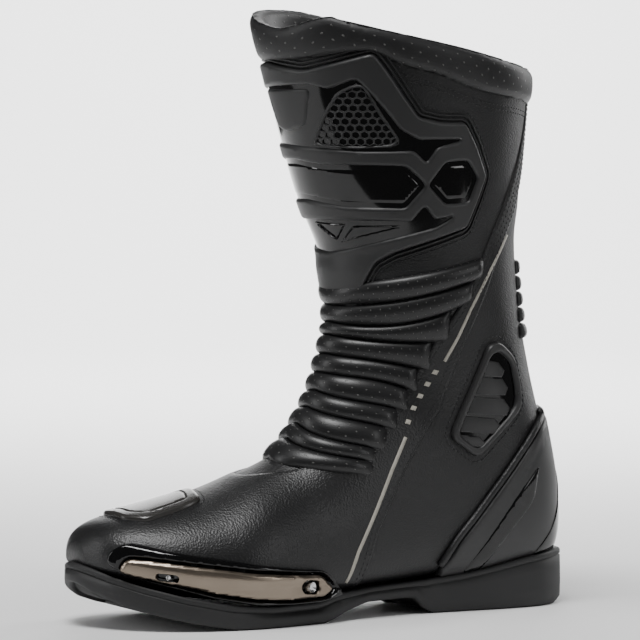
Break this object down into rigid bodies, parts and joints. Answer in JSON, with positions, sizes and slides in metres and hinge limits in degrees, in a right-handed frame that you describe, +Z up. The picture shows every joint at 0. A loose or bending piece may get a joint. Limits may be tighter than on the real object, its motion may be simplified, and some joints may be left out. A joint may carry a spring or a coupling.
{
  "type": "motorcycle riding boot",
  "caption": "Left sport-riding boot with shin plate, ribbed flex panel, inner zip under a flap, toe slider, heel cup and vented ankle guard.",
  "frame": {"origin": "middle of the boot's footprint box, on the ground under the sole", "axes": "+Z up the shaft, -Y to the toe, +X to the outer side"},
  "size_m": [0.1358, 0.3136, 0.3501],
  "materials": {
    "sole_rubber": "matt moulded rubber",
    "shank_steel": "rolled strip",
    "insole_board": "fibre board",
    "footbed_foam": "fabric-faced foam",
    "black_leather": "matt grained synthetic leather",
    "stiffener": "moulded stiffener",
    "lining_fabric": "mesh lining",
    "pad_rubber": "satin rubber",
    "gloss_black": "gloss",
    "titanium": "satin bronze-grey",
    "screw_steel": "turned",
    "matte_black": "satin moulded",
    "band_leather": "smooth leather",
    "stretch_leather": "perforated padded leather",
    "collar_leather": "perforated padded leather",
    "mesh_plastic": "honeycomb grille",
    "grip_suede": "suede",
    "zip_plastic": "coil",
    "zip_tape": "woven tape",
    "zip_metal": "black enamel",
    "hook_tape": "hook and loop"
  },
  "bodies": {
    "foot": {"outsole": "sole_rubber", "shank": "shank_steel", "insole_board": "insole_board", "footbed": "footbed_foam", "vamp": "black_leather", "quarter_outer": "black_leather", "quarter_inner": "black_leather", "toe_puff": "stiffener", "heel_counter": "stiffener", "foot_lining": "lining_fabric", "shift_pad": "pad_rubber", "toe_slider_frame": "gloss_black", "slider_screws": "screw_steel", "heel_cup": "matte_black", "heel_cup_inlays": "gloss_black", "heel_cup_piping": "black_leather", "ankle_vent": "matte_black", "ankle_guard": "matte_black", "side_band_foot": "band_leather"},
    "toe_slider": {"toe_slider_plate": "titanium"},
    "shaft": {"side_band_ankle": "band_leather", "ankle_gaiter": "stretch_leather", "front_flex_panel": "stretch_leather", "side_band_shaft": "band_leather", "shaft_outer": "black_leather", "shaft_inner": "black_leather", "calf_panel": "black_leather", "shaft_lining": "lining_fabric", "collar": "collar_leather", "shin_plate": "matte_black", "shin_plate_trim": "black_leather", "shin_vent_mesh": "mesh_plastic", "shin_gloss_panels": "gloss_black", "rear_flex_panel": "stretch_leather", "inner_grip_panel": "grip_suede", "zip_teeth": "zip_plastic", "zip_tapes": "zip_tape", "zip_stops": "zip_metal", "flap_hook_strip": "hook_tape", "flap_hem": "black_leather"},
    "flap": {"zip_flap": "black_leather", "flap_loop_strip": "hook_tape"},
    "slider": {"zip_slider": "zip_metal"},
    "pull": {"zip_pull": "zip_metal"}
  },
  "joints": [
    {"name": "ankle_flex", "type": "hinge", "parent": "foot", "child": "shaft", "pos_m": [0, 0.08357, 0.11], "axis": [1, 0, 0], "range_deg": [-8, 20], "stiffness_Nm_per_rad": 10, "deforming": ["ankle_gaiter", "front_flex_panel", "side_band_ankle"]},
    {"name": "toe_slider_adjust", "type": "slide", "parent": "foot", "child": "toe_slider", "axis": [-0.1183, -0.9871, 0.1076], "range_m": [-0.0025, 0.0025]},
    {"name": "zip_travel", "type": "slide", "parent": "shaft", "child": "slider", "axis": [0.1049, 0, -0.9945], "range_m": [0, 0.155]},
    {"name": "pull_swing", "type": "hinge", "parent": "slider", "child": "pull", "pos_m": [-0.06086, 0.07657, 0.29889], "axis": [0, 1, 0], "range_deg": [0, 100]},
    {"name": "flap_fold", "type": "hinge", "parent": "shaft", "child": "flap", "pos_m": [-0.04484, 0.05657, 0.134], "axis": [-0.1443, 0, 0.9895], "range_deg": [0, 110]}
  ]
}
